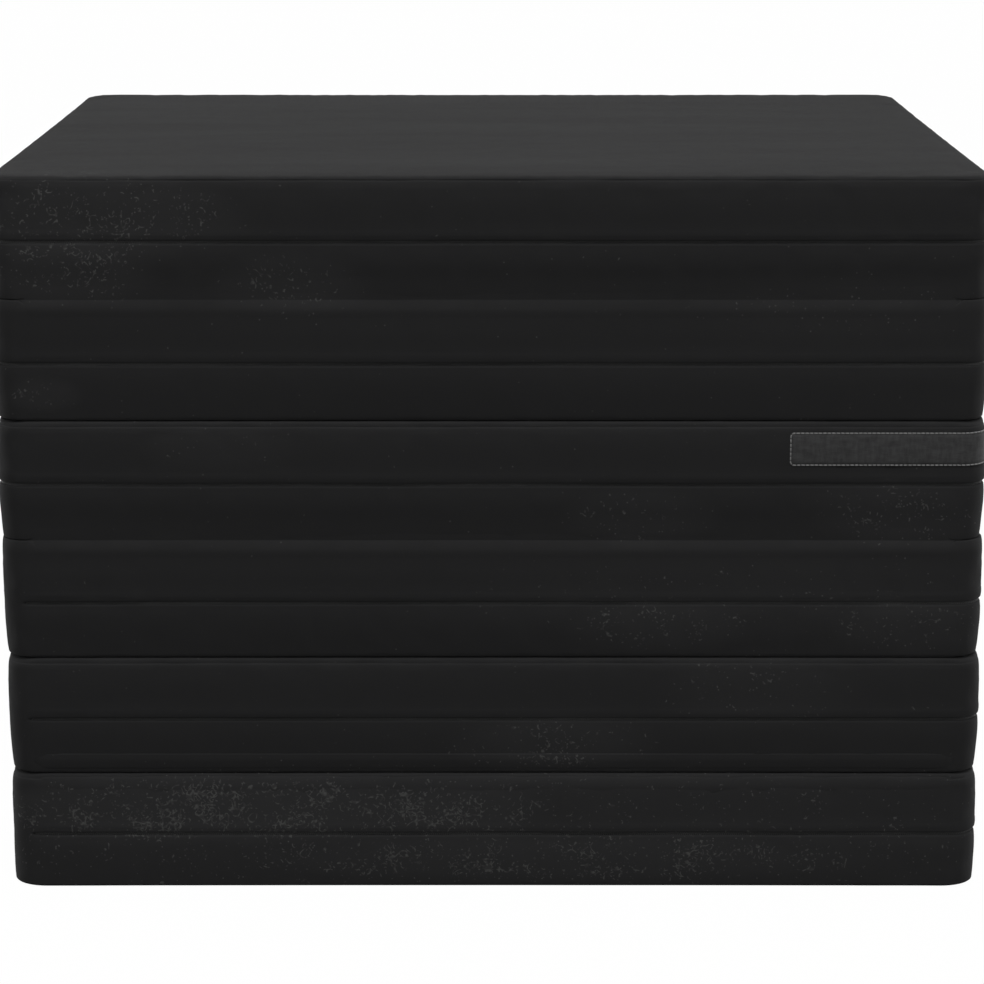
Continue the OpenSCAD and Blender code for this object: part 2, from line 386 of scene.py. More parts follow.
class PanelLattice:
    """A box of quads whose columns gather at the corners, as the base of all covers.

    Attributes:
        mesh: The box, whose points are moved for each cover.
        rows: The rows round the side, from the underside's border to the top's.
        inset: How far in each point's row lies.
        z: Each point's height.
        tilt: The surface's tilt upwards at each point's row, in radians.
        top: Whether each point is on the top face or its border.
        on_side: Whether it is on the outline.
        run: Its place along the outline: 0 at the front's middle, positive to the right.
        from_back: Its distance along the outline from the back's middle.
    """

    corner_steps = 6
    columns = 138
    files = 74
    zip_heights = (14.0, 11.0, 8.5, 6.5, 5.0, 4.0, 3.2, 2.6, 2.1, 1.7, 1.35, 1.1, 0.95, 0.8, 0.6)
    wide_heights = 4
    bow_heights = (
        52.0, 53.5, 55.0, 56.5, 58.0, 60.0, 62.5, 66.0, 70.0, 75.0, 80.0, 84.0, 86.5, 88.4, 89.6, 90.4, 91.0, 91.6,
        92.1, 92.6,
    )
    round_angles = (11.0, 13.0, 15.0, 17.5, 20.0, 22.5, 26.0, 31.5, 37.0, 45.0, 55.0, 66.0, 78.0, 90.0)

    def __init__(self, form: PanelForm) -> None:
        """Builds the box for a panel's form.

        Args:
            form: The panel's outer form.
        """
        self.form = form
        self.rows = self._side_rows()
        self.counts = (self.columns, self.files, len(self.rows) - 1)
        self.mesh = self._box()
        self._read_places()

    def _wall_row(self, z: float) -> SideRow:
        """Returns the row of the bowed side at a height."""
        return SideRow(self.form.bow_inset(z), z, self.form.bow_tilt(z))

    def _side_rows(self) -> list[SideRow]:
        """Lists the rows round the side, closer together at the seams and the zip.

        Returns:
            The rows, from the lowest up.
        """
        form = self.form
        upper = [self._wall_row(z) for z in [MM * h for h in self.bow_heights] + [form.round_start()[0]]]
        for angle in map(math.radians, self.round_angles):
            upper.append(SideRow(*form.on_round(angle), angle))
        turned = [SideRow(r.inset, form.thick - r.z, -r.tilt) for r in reversed(upper)]
        floor_z = form.zip_z - MM * max(self.zip_heights)
        lower = [r for r in turned if r.z < floor_z - 0.002]
        heights = [-h for h in self.zip_heights] + list(reversed(self.zip_heights[self.wide_heights:]))
        return lower + [self._wall_row(form.zip_z + MM * h) for h in heights] + upper

    def _box(self) -> bpy.types.Mesh:
        """Cuts a unit cube into the lattice's columns, files and rows.

        Returns:
            The cube's mesh.
        """
        bm = bmesh.new()
        bmesh.ops.create_cube(bm, size=1.0)
        for axis, count in enumerate(self.counts):
            along = [e for e in bm.edges if abs(e.verts[0].co[axis] - e.verts[1].co[axis]) > 0.5]
            bmesh.ops.subdivide_edges(bm, edges=along, cuts=count - 1, use_grid_fill=True)
        return as_mesh(bm, "panel_lattice")

    def _read_places(self) -> None:
        """Works out where each point of the box lies on the panel's outline."""
        counts = np.array(self.counts)
        index = np.rint((places(self.mesh) + 0.5) * counts).astype(int)
        self.row = index[:, 2]
        self.top = self.row == self.counts[2]
        self.inset, self.z, self.tilt = np.array(self.rows)[self.row].T
        steps = self.corner_steps
        across = []
        for axis in (0, 1):
            i, last = index[:, axis], counts[axis]
            straight = np.clip((i - steps) / (last - 2 * steps), 0.0, 1.0) * 2.0 - 1.0
            corner = np.clip(np.maximum(steps - i, i - last + steps) / steps, 0.0, 1.0)
            across.append((straight, corner, np.where(i * 2 < last, -1.0, 1.0)))
        (tx, cx, sx), (ty, cy, sy) = across
        reach = np.maximum(cx, cy)
        share = np.divide(np.minimum(cx, cy), reach, out=np.zeros_like(reach), where=reach > 0)
        angle = share * math.pi / 4.0
        major, minor = reach * np.cos(angle), reach * np.sin(angle)
        self.tx, self.ty = tx, ty
        self.ox = sx * np.where(cx >= cy, major, minor)
        self.oy = sy * np.where(cx >= cy, minor, major)
        self.on_side = reach > 1.0 - 1e-6
        self.run = self._round_run(sx)
        self.from_back = self.form.width + self.form.depth - np.abs(self.run)

    def _round_run(self, side: np.ndarray) -> np.ndarray:
        """Finds each point's place along the outline.

        Args:
            side: -1 for the points of the left half, 1 for those of the right.

        Returns:
            Distances from the front's middle, positive to the right.
        """
        half_w, half_d = self.form.straight
        turn = np.arctan2(np.abs(self.ox), -self.oy)
        on_front, on_back = turn < 1e-6, turn > math.pi - 1e-6
        behind, ahead = turn > math.pi / 2.0 + 1e-6, turn < math.pi / 2.0 - 1e-6
        flank = np.where(behind, 2.0, np.where(ahead, 0.0, self.ty + 1.0))
        run = half_w * np.where(on_front, np.abs(self.tx), 1.0) + self.form.corner_r * turn + half_d * flank
        run += half_w * np.where(on_back, 1.0 - np.abs(self.tx), 0.0)
        return run * side

    def smooth_places(self) -> tuple[np.ndarray, np.ndarray]:
        """Lays the box on the panel's form, without seams.

        Returns:
            The points, and the outward directions at them.
        """
        form, inset = self.form, self.inset
        share = form.draw_share(self.z)
        radius = form.corner_r + form.corner_soft * inset
        half_w, half_d = form.width / 2.0 - inset, form.depth / 2.0 - inset
        x = self.tx * (half_w - radius) + radius * self.ox
        y = self.ty * (half_d - radius) + radius * self.oy
        gap_x, gap_y = np.abs(x) - (half_w - radius), np.abs(y) - (half_d - radius)
        outside = np.hypot(np.maximum(gap_x, 0.0), np.maximum(gap_y, 0.0))
        inwards = radius - outside - np.minimum(np.maximum(gap_x, gap_y), 0.0)
        rise = form.fall * (1.0 - (1.0 - np.clip(inwards / form.fall_w, 0.0, 1.0)) ** 2)
        z = self.z + np.where(self.top, rise, 0.0) - np.where(self.row == 0, rise, 0.0)
        x = x * (1.0 - form.draw * share * (1.0 - self.ty**2) / half_w)
        y = y * (1.0 - form.draw * share * (1.0 - self.tx**2) / half_d)
        level = np.where(self.on_side, np.cos(self.tilt), 0.0)
        up = np.where(self.on_side, np.sin(self.tilt), np.where(self.top, 1.0, -1.0))
        return np.column_stack([x, y, z]), np.column_stack([self.ox * level, self.oy * level, up])


class NodeDesk:
    """Places and joins the nodes of one material or node group."""

    def __init__(self, tree: bpy.types.NodeTree) -> None:
        """Starts on a material's or group's node tree."""
        self.tree = tree

    def link(self, value: bpy.types.NodeSocket, node: bpy.types.Node, name: str) -> None:
        """Leads a value to a node's input."""
        self.tree.links.new(value, node.inputs[name])

    def node(self, kind: str, links: dict | None = None, **settings: object) -> bpy.types.Node:
        """Adds a node.

        Args:
            kind: The node's type, without its ShaderNode prefix.
            links: What each input gets: an output socket, or a value. Keys are names or numbers.
            **settings: Properties to set on the node.

        Returns:
            The new node.
        """
        made = self.tree.nodes.new("ShaderNode" + kind)
        for key, value in settings.items():
            setattr(made, key, value)
        for key, value in (links or {}).items():
            if isinstance(value, bpy.types.NodeSocket):
                self.tree.links.new(value, made.inputs[key])
            else:
                made.inputs[key].default_value = value
        return made

    def math(self, operation: str, *values: object) -> bpy.types.NodeSocket:
        """Returns the result of a math operation on sockets or numbers."""
        return self.node("Math", dict(enumerate(values)), operation=operation).outputs[0]

    def ramp(
        self, value: object, low: float, high: float, to_low: float = 0.0, to_high: float = 1.0
    ) -> bpy.types.NodeSocket:
        """Returns a value carried smoothly from one range to another."""
        links = {"Value": value, "From Min": low, "From Max": high, "To Min": to_low, "To Max": to_high}
        return self.node("MapRange", links, interpolation_type="SMOOTHSTEP").outputs["Result"]

    def noise(self, place: object, scale: float, detail: float = 2.0) -> bpy.types.NodeSocket:
        """Returns a noise between 0 and 1 at a place."""
        return self.node("TexNoise", {"Vector": place, "Scale": scale, "Detail": detail}).outputs["Fac"]

    def drawn(self, place: object, scale: tuple[float, float, float], detail: float = 3.0) -> bpy.types.NodeSocket:
        """Returns a noise that is drawn out by its own scale along each axis."""
        return self.noise(self.node("Mapping", {"Vector": place, "Scale": scale}).outputs[0], 1.0, detail)

    def axes(self, place: object) -> bpy.types.bpy_prop_collection:
        """Returns a place's or direction's three parts."""
        return self.node("SeparateXYZ", {0: place}).outputs

    def faces(self, axis: int) -> bpy.types.NodeSocket:
        """Returns 1 where the surface faces along an axis, to either side, and 0 elsewhere."""
        part = self.axes(self.node("TexCoord").outputs["Normal"])[axis]
        return self.math("GREATER_THAN", self.math("ABSOLUTE", part), 0.7)

    def pick(self, share: object, first: object, second: object) -> bpy.types.NodeSocket:
        """Returns a mix of two numbers."""
        return self.node("Mix", {0: share, 2: first, 3: second}).outputs[0]

    def tinge(self, share: object, first: object, second: object) -> bpy.types.NodeSocket:
        """Returns a mix of two colours."""
        return self.node("Mix", {0: share, 6: first, 7: second}, data_type="RGBA").outputs[2]

    def shaded(self, colour: object, factor: bpy.types.NodeSocket) -> bpy.types.NodeSocket:
        """Returns a colour made lighter or darker by a factor."""
        grey = self.node("CombineXYZ", {0: factor, 1: factor, 2: factor}).outputs[0]
        return self.node("VectorMath", {0: grey, 1: colour}, operation="MULTIPLY").outputs[0]

    def effect(self, group: bpy.types.NodeTree, **values: object) -> bpy.types.NodeSocket:
        """Returns what a shared node group makes of its inputs."""
        return self.node("Group", values, node_tree=group).outputs[0]

    def bump(self, surface: bpy.types.Node, height: bpy.types.NodeSocket, strength: float) -> None:
        """Gives a surface a relief from a height in metres."""
        made = self.node("Bump", {"Strength": strength, "Distance": 1.0, "Height": height})
        self.link(made.outputs[0], surface, "Normal")

    def background(self) -> bpy.types.NodeSocket:
        """Tells the rays that show the background, the camera's and those in metal and glass, from the light's own.

        Returns:
            1 for those rays, and 0 for others.
        """
        path = self.node("LightPath").outputs
        mirrored = self.math("MAXIMUM", path["Is Glossy Ray"], path["Is Transmission Ray"])
        return self.math("MAXIMUM", path["Is Camera Ray"], mirrored)


class EffectLibrary:
    """Node groups that several finishes share.

    Attributes:
        weave: A plain weave's height.
        tone: Soft shifts of tone.
        lint: A mask of fibres and specks.
    """

    fibre_layers = ((0.0, 95.0, 0.038), (3.7, 160.0, 0.055), (7.9, 260.0, 0.09))
    specks = 420.0

    def __init__(self) -> None:
        """Builds each group once."""
        self.weave = self._weave()
        self.tone = self._tone()
        self.lint = self._lint()

    def _group(self, name: str, inputs: dict[str, float | None], output: str) -> tuple:
        """Starts a group.

        Args:
            name: The group's name.
            inputs: Its inputs with their values, or None for a place.
            output: Its output's name.

        Returns:
            A desk on the group, its inputs' values, and its output node.
        """
        group = bpy.data.node_groups.new(name, "ShaderNodeTree")
        for key, value in inputs.items():
            kind = "NodeSocketVector" if value is None else "NodeSocketFloat"
            socket = group.interface.new_socket(key, in_out="INPUT", socket_type=kind)
            if value is not None:
                socket.default_value = value
        group.interface.new_socket(output, in_out="OUTPUT", socket_type="NodeSocketFloat")
        return NodeDesk(group), group.nodes.new("NodeGroupInput").outputs, group.nodes.new("NodeGroupOutput")

    def _weave(self) -> bpy.types.NodeTree:
        """Lays a plain weave on each side of the object along its own threads.

        Returns:
            The group.
        """
        desk, given, result = self._group("plain_weave", {"Place": None, "Pitch": 0.0007}, "Height")
        rate = desk.math("DIVIDE", 2.0 * math.pi, given["Pitch"])
        threads = [desk.math("SINE", desk.math("MULTIPLY", o, rate)) for o in desk.axes(given["Place"])]
        level = desk.faces(2)
        cross = desk.pick(desk.faces(0), threads[0], threads[1])
        up = desk.pick(level, threads[2], threads[1])
        first = desk.pick(level, cross, threads[0])
        desk.link(desk.math("MULTIPLY_ADD", desk.math("MULTIPLY", first, up), 0.5, 0.5), result, "Height")
        return desk.tree

    def _tone(self) -> bpy.types.NodeTree:
        """Makes the soft, sideways-drawn shifts of tone in worn cloth.

        Returns:
            The group.
        """
        desk, given, result = self._group("tone_drift", {"Place": None, "Amount": 0.1}, "Factor")
        broad = desk.drawn(given["Place"], (3.0, 15.0, 14.0))
        fine = desk.drawn(given["Place"], (60.0, 90.0, 60.0))
        both = desk.math("ADD", desk.math("MULTIPLY", broad, 0.65), desk.math("MULTIPLY", fine, 0.35))
        swing = desk.math("MULTIPLY", desk.math("SUBTRACT", both, 0.5), 2.0)
        desk.link(desk.math("MULTIPLY_ADD", swing, given["Amount"], 1.0), result, "Factor")
        return desk.tree

    def _lint(self) -> bpy.types.NodeTree:
        """Makes short fibres and specks that cling to cloth where a field lets them.

        Returns:
            The group.
        """
        desk, given, result = self._group("lint_fibres", {"Place": None, "Field": 0.5}, "Mask")
        place, field = given["Place"], given["Field"]
        mask = 0.0
        edge = desk.math("MULTIPLY_ADD", field, -0.95, 0.85)
        for shift, scale, width in self.fibre_layers:
            moved = desk.node("VectorMath", {0: place, 1: (shift, shift, shift)}, operation="ADD").outputs[0]
            line = desk.math("ABSOLUTE", desk.math("SUBTRACT", desk.noise(moved, scale, 0.0), 0.5))
            gate = desk.noise(moved, 50.0 + scale * 1.1, 0.0)
            kept = desk.ramp(desk.math("SUBTRACT", gate, edge), 0.0, 0.06)
            fibre = desk.math("MULTIPLY", desk.ramp(line, width * 0.3, width, 1.0, 0.0), kept)
            mask = desk.math("MAXIMUM", mask, fibre)
        cells = desk.node("TexVoronoi", {"Vector": place, "Scale": self.specks})
        lot = desk.node("SeparateColor", {0: cells.outputs["Color"]}).outputs[0]
        kept = desk.math("LESS_THAN", lot, desk.math("MULTIPLY", field, 0.7))
        speck = desk.math("MULTIPLY", desk.ramp(cells.outputs["Distance"], 0.16, 0.34, 1.0, 0.0), kept)
        faint = desk.ramp(desk.noise(place, self.specks, 0.0), 0.32, 0.68, 0.25, 1.0)
        desk.link(desk.math("MULTIPLY", desk.math("MAXIMUM", mask, speck), faint), result, "Mask")
        return desk.tree


@dataclass(frozen=True)
class Finish:
    """A finish's plain surface: its linear colour, how matt it is, and how much it reflects and shimmers."""

    colour: tuple[float, float, float]
    roughness: float
    specular: float = 0.5
    sheen: float = 0.0

    def start(self, name: str) -> tuple[bpy.types.Material, NodeDesk, bpy.types.Node]:
        """Starts the material.

        Args:
            name: The material's name.

        Returns:
            The material, a desk on its nodes, and its surface.
        """
        material = bpy.data.materials.new(name)
        material.use_nodes = True
        surface = material.node_tree.nodes["Principled BSDF"]
        surface.inputs["Base Color"].default_value = (*self.colour, 1.0)
        surface.inputs["Roughness"].default_value = self.roughness
        surface.inputs["Specular IOR Level"].default_value = self.specular
        surface.inputs["Sheen Weight"].default_value = self.sheen
        surface.inputs["Sheen Roughness"].default_value = 0.45
        return material, NodeDesk(material.node_tree), surface


class LintField(NamedTuple):
    """A part of the front where lint clings: its middle, its half sizes, and how dense it is."""

    x: float
    z: float
    half_x: float
    half_z: float
    density: float


@dataclass(frozen=True)
class CoverCloth(Finish):
    """Black woven cover cloth with a soft sheen, slightly faded, with a painted highlight along the panels' upper
    edges and lint on it.
    """

    colour: tuple[float, float, float] = (0.0235, 0.0235, 0.024)
    roughness: float = 0.85
    specular: float = 0.10
    sheen: float = 0.01
    pitch: float = 0.0007
    weave_height: float = 0.00009
    ripple_height: float = 0.0007
    panel_pitch: float = 0.099
    lint_colour: tuple[float, float, float, float] = (0.115, 0.115, 0.112, 1.0)
    lint_cover: float = 0.7
    fields: tuple[LintField, ...] = (
        LintField(-0.32, 0.562, 0.12, 0.036, 0.25),
        LintField(-0.34, 0.516, 0.07, 0.026, 0.22),
        LintField(-0.16, 0.508, 0.06, 0.024, 0.22),
        LintField(-0.36, 0.418, 0.03, 0.014, 0.24),
        LintField(-0.22, 0.375, 0.06, 0.018, 0.12),
        LintField(0.28, 0.490, 0.10, 0.030, 0.07),
        LintField(0.12, 0.316, 0.06, 0.024, 0.18),
        LintField(0.33, 0.322, 0.07, 0.028, 0.18),
        LintField(0.14, 0.225, 0.07, 0.022, 0.18),
        LintField(0.34, 0.226, 0.06, 0.024, 0.20),
        LintField(0.22, 0.170, 0.08, 0.030, 0.14),
        LintField(0.05, 0.125, 0.08, 0.024, 0.22),
        LintField(-0.24, 0.068, 0.20, 0.026, 0.27),
        LintField(-0.02, 0.068, 0.06, 0.024, 0.16),
        LintField(0.06, 0.024, 0.24, 0.018, 0.18),
        LintField(0.0, 0.048, 0.52, 0.062, 0.16),
        LintField(0.22, 0.250, 0.26, 0.034, 0.09),
    )

    def dust(self, desk: NodeDesk, place: bpy.types.NodeSocket) -> bpy.types.NodeSocket:
        """Adds up the lint fields.

        Args:
            desk: The desk on the material's nodes.
            place: Where on the object.

        Returns:
            How dusty the place is.
        """
        axes = desk.axes(place)
        total = 0.01
        for spot in self.fields:
            across = desk.math("DIVIDE", desk.math("SUBTRACT", axes[0], spot.x), spot.half_x)
            up = desk.math("DIVIDE", desk.math("SUBTRACT", axes[2], spot.z), spot.half_z)
            square = desk.math("ADD", desk.math("MULTIPLY", across, across), desk.math("MULTIPLY", up, up))
            total = desk.math("ADD", total, desk.ramp(square, 0.1, 1.5, spot.density, 0.0))
        return desk.math("MULTIPLY", total, desk.ramp(axes[1], -0.30, -0.28, 1.0, 0.12))

    def painted_edge_highlight(self, desk: NodeDesk, place: bpy.types.NodeSocket) -> bpy.types.NodeSocket:
        """Paints a patchy pale band along each panel's upper edge, a painted highlight where the round catches the
        light from above.

        Args:
            desk: The desk on the material's nodes.
            place: Where on the object.

        Returns:
            How much lighter the painted highlight makes the place.
        """
        height = desk.math("ADD", desk.axes(place)[2], 0.0002)
        within = desk.math("MODULO", height, self.panel_pitch)
        patchy = desk.ramp(desk.noise(place, 30.0, 2.0), 0.3, 0.7, 0.7, 1.2)
        # Painted highlight: the colour lightens towards each panel's top edge, made patchy by noise.
        return desk.math("MULTIPLY", desk.ramp(within, 0.0872, 0.0955, 0.0, 0.28), patchy)

    def make(self, name: str, effects: EffectLibrary) -> bpy.types.Material:
        """Builds the material.

        Args:
            name: The material's name.
            effects: The shared node groups.

        Returns:
            The material.
        """
        material, desk, surface = self.start(name)
        place = desk.node("TexCoord").outputs["Object"]
        level, dust = desk.faces(2), self.dust(desk, place)
        tone = desk.effect(effects.tone, Place=place, Amount=desk.math("MULTIPLY_ADD", level, 0.5, 0.11))
        weave = desk.effect(effects.weave, Place=place, Pitch=self.pitch)
        cloud = desk.ramp(desk.noise(place, 45.0, 3.0), 0.36, 0.66, 0.42, 1.18)
        lint = desk.effect(effects.lint, Place=place, Field=desk.math("MULTIPLY", dust, cloud))
        # Painted highlight along the sides' upper edges, left off the top faces.
        lit_edge = desk.math("MULTIPLY", self.painted_edge_highlight(desk, place), desk.math("SUBTRACT", 1.0, level))
        # The lint's haze (real dust) and the painted edge highlight both lighten the cloth's colour.
        dust_and_highlight = desk.math("ADD", desk.math("MULTIPLY_ADD", dust, 1.3, 1.0), lit_edge)
        cloth = desk.shaded(desk.shaded(self.colour, tone), dust_and_highlight)
        colour = desk.tinge(desk.math("MULTIPLY", lint, self.lint_cover), cloth, self.lint_colour)
        desk.link(colour, surface, "Base Color")
        ripple = desk.drawn(place, (38.0, 38.0, 22.0))
        threads = desk.math("MULTIPLY", weave, self.weave_height)
        desk.bump(surface, desk.math("MULTIPLY_ADD", ripple, self.ripple_height, threads), 0.8)
        return material


@dataclass(frozen=True)
class PatchCloth(Finish):
    """Bare ribbed cloth of the sewn-on patch, a little lighter than the cover, with a blotchy, drawn weave."""

    colour: tuple[float, float, float] = (0.037, 0.037, 0.0375)
    roughness: float = 0.8
    specular: float = 0.3
    sheen: float = 0.08
    relief: float = 0.0003

    def make(self, name: str) -> bpy.types.Material:
        """Builds the material, whose ribs follow the piece's own map in metres.

        Args:
            name: The material's name.

        Returns:
            The material.
        """
        material, desk, surface = self.start(name)
        laid = desk.node("TexCoord").outputs["UV"]
        ribs = desk.drawn(laid, (360.0, 90.0, 1.0))
        blots = desk.drawn(laid, (75.0, 200.0, 1.0), 4.0)
        threads = desk.drawn(laid, (180.0, 1300.0, 1.0), 2.0)
        swing = desk.math("ADD", desk.ramp(ribs, 0.32, 0.68, -0.17, 0.17), desk.ramp(blots, 0.3, 0.7, -0.24, 0.24))
        swing = desk.math("ADD", swing, desk.ramp(threads, 0.35, 0.65, -0.06, 0.06))
        desk.link(desk.shaded(self.colour, desk.math("ADD", 1.0, swing)), surface, "Base Color")
        height = desk.math("ADD", ribs, desk.math("MULTIPLY", threads, 0.5))
        desk.bump(surface, desk.math("MULTIPLY", height, self.relief), 0.9)
        return material


@dataclass(frozen=True)
class PlainFinish(Finish):
    """A small part's finish, with a fine grain that varies its tone and roughness."""

    grain: float = 900.0
    spread: float = 0.12
    rough_spread: float = 0.06
    relief: float = 0.00004
    metallic: float = 0.0

    def make(self, name: str) -> bpy.types.Material:
        """Builds the material.

        Args:
            name: The material's name.

        Returns:
            The material.
        """
        material, desk, surface = self.start(name)
        surface.inputs["Metallic"].default_value = self.metallic
        grain = desk.noise(desk.node("TexCoord").outputs["Object"], self.grain, 3.0)
        factor = desk.ramp(grain, 0.3, 0.7, 1.0 - self.spread, 1.0 + self.spread)
        desk.link(desk.shaded(self.colour, factor), surface, "Base Color")
        rough = desk.ramp(grain, 0.3, 0.7, self.roughness - self.rough_spread, self.roughness + self.rough_spread)
        desk.link(rough, surface, "Roughness")
        desk.bump(surface, desk.math("MULTIPLY", grain, self.relief), 0.7)
        return material


class Finishes:
    """All materials of the sofa bed. The hinge strips are of the covers' cloth."""

    def __init__(self) -> None:
        """Builds the materials."""
        self.cover = CoverCloth().make("cover_cloth", EffectLibrary())
        self.patch = PatchCloth().make("patch_cloth")
        self.tape = PlainFinish((0.012, 0.012, 0.012), 0.8, 0.3, 0.05).make("zip_tape")
        self.coil = PlainFinish((0.055, 0.055, 0.055), 0.4, relief=0.00001).make("zip_coil")
        self.slider = PlainFinish((0.05, 0.05, 0.05), 0.38, metallic=0.6, relief=0.00001).make("slider_enamel")
        self.foam = PlainFinish((0.62, 0.57, 0.42), 0.9, 0.2, grain=420.0, relief=0.0004).make("open_foam")
        self.dark_thread = PlainFinish((0.026, 0.026, 0.026), 0.7, 0.3, 0.03, grain=2500.0).make("dark_thread")
        self.pale_thread = PlainFinish((0.24, 0.24, 0.238), 0.65, 0.4, 0.1, grain=2500.0).make("pale_thread")


@dataclass
class PanelCover:
    """One panel's cover, drawn over its foam block: crowned faces, bowed sides, sewn edges and the zip's slit.

    Attributes:
        number: The panel's number, from the top down.
        lattice: The box that all covers start from.
        zip_from: Where the slit starts along the outline.
        zip_to: Where it ends.
    """

    number: int
    lattice: PanelLattice
    zip_from: float
    zip_to: float
    seam_depth: float = 0.00066
    seam_hollow: float = 0.0003
    seam_angle: float = 17.5
    first_seam: float = 1.6
    low_seam_depth: float = 0.0004
    low_seam_hollow: float = 0.0002
    low_seam_angle: float = 15.0
    slit_depth: float = 0.0030
    stitch_rise: float = 0.0101
    lean: float = 0.0014
    crown: float = 0.0016
    crown_half: tuple[float, float] = (0.40, 0.325)
    held_shut: float = 0.0060
    held_top: float = 0.0028
    held_low: float = 0.0050
    held_lowest: float = 0.0045
    upper_straight: float = 0.4
    lower_straight: float = 0.5
    pressed: float = 0.5
    raised: float = 0.0003
    strip_end: float = 0.030
    strip_reach: float = 0.027
    pucker_reach: float = 0.006
    stitch_groove: float = 0.0001
    belly: float = 0.00035

    def past_seam(self, z: np.ndarray, tilt: np.ndarray, angle: float) -> np.ndarray:
        """Measures along the cloth from an edge seam towards the face.

        Args:
            z: Heights from the panel's other face.
            tilt: The surface's tilts towards the seam's face, in radians.
            angle: The seam's place on the edge's round, in degrees.

        Returns:
            Distances, which are negative on the wall beside the seam.
        """
        form, seam = self.lattice.form, math.radians(angle)
        start_z, start = form.round_start()
        wall = z - start_z - (seam - start) * form.edge_r
        return np.where(z > start_z, (tilt - seam) * form.edge_r, wall)

    def seam_relief(self, ahead: np.ndarray, depth: float, hollow: float) -> np.ndarray:
        """Gives the section of an edge seam: a fine groove at the bottom of a wide, soft hollow.

        Args:
            ahead: Distance from the seam towards the face.
            depth: The groove's depth.
            hollow: The hollow's depth.

        Returns:
            How far the cloth moves outwards.
        """
        t = ahead / MM
        soft = np.where(t < 0.0, np.exp(np.minimum(t, 0.0) / 5.0), fade(t, 6.0))
        return -depth * np.exp(-((t / np.where(t < 0.0, 0.8, 2.6)) ** 2)) - hollow * soft

    def zip_relief(self, up: np.ndarray) -> np.ndarray:
        """Gives the section of the zip's slit in millimetres: a flap that rolls in above it, and a fuller lip below.

        Args:
            up: Height above the zip's middle.

        Returns:
            How far the cloth moves outwards.
        """
        t = up / MM
        past = np.abs(t) - 0.8
        flap = 0.0005 * smooth_step((14.5 - t) / 8.0) - 0.0005 * fade(past, 4.2, 2.0) - 0.0009 * fade(past, 1.6, 2.0)
        lip = 0.0004 * smooth_step((40.0 + t) / 28.0) - 0.0010 * fade(past, 2.0, 2.0) - 0.0008 * fade(past, 13.0, 2.0)
        return np.where(t > 0.0, flap, lip) - self.slit_depth * smooth_step((0.97 - np.abs(t)) / 0.2)

    def strip_cover(self, past: float) -> np.ndarray:
        """Tells where a taut strip crosses the cover's edges.

        Args:
            past: How far past the panel's side the share falls off.

        Returns:
            1 at the upper or lower half's points along such a strip, and 0 elsewhere.
        """
        lattice = self.lattice
        share = np.zeros_like(lattice.run)
        for upper_half, upper in ((False, self.number), (True, self.number - 1)):
            if upper in TAUT_CREASES:
                away = np.abs(lattice.run) if upper % 2 else lattice.from_back
                near = smooth_step((lattice.form.width / 2.0 + past - away) / self.strip_end)
                share = np.where((lattice.tilt > 0.0) == upper_half, near, share)
        return share

    def strip_free(self) -> np.ndarray:
        """Returns 0 where a taut strip lies on the cover's side, and 1 away from it."""
        off = self.lattice.form.half - np.abs(self.lattice.z - self.lattice.form.half)
        return 1.0 - self.strip_cover(0.0) * smooth_step((self.strip_reach - off) / 0.009)

    def snugged(self) -> np.ndarray:
        """Presses the edges tighter: the lower ones all round, and both where a taut strip holds a crease shut.

        Returns:
            How each point of the cover moves.
        """
        lattice, form = self.lattice, self.lattice.form
        z, tilt = lattice.z, lattice.tilt
        upper_half, lowest = tilt > 0.0, self.number == PANELS
        taut = self.strip_cover(0.045)
        from_middle = np.minimum(np.abs(lattice.run), lattice.from_back)
        shut = taut * smooth_step((from_middle - form.width / 2.0 + 0.031) / 0.009)
        held_upper = self.held_top if self.number == 1 else 0.0
        held_lower = self.held_lowest if lowest else self.held_low
        held = np.maximum(self.held_shut * shut, np.where(upper_half, held_upper, held_lower))
        pressed = np.where(upper_half & (self.number > 1), self.pressed * form.edge_r, 0.0)
        start_z, start = form.round_start()
        slid = np.maximum(held, pressed) * np.maximum(np.cos(start) - np.cos(tilt), 0.0)
        over, under = form.taut_inset(z, True, self.number), form.taut_inset(form.thick - z, False, self.number - 1)
        wall = form.wall_inset(z)
        straight = np.where(upper_half, self.upper_straight, 1.0 if lowest else self.lower_straight)
        slid += (1.0 - taut) * straight * wall + taut * (wall - np.where(upper_half, under, over))
        if not lowest:
            slid -= (1.0 - taut) * self.lean * fade(z, form.zip_z, 1.3)
        past = np.abs(z - form.half) - start_z + form.half
        by_edge = smooth_step(1.0 + past / 0.012)
        raised = held * np.where(past > 1e-6, 1.0 - np.abs(np.sin(tilt)), (1.0 - math.sin(start)) * by_edge)
        raised += np.where(upper_half, self.number > 1, not lowest) * self.raised * (1.0 + shut) * by_edge
        moves = np.column_stack([lattice.ox * slid, lattice.oy * slid, np.sign(tilt) * raised])
        return moves * lattice.on_side[:, None]

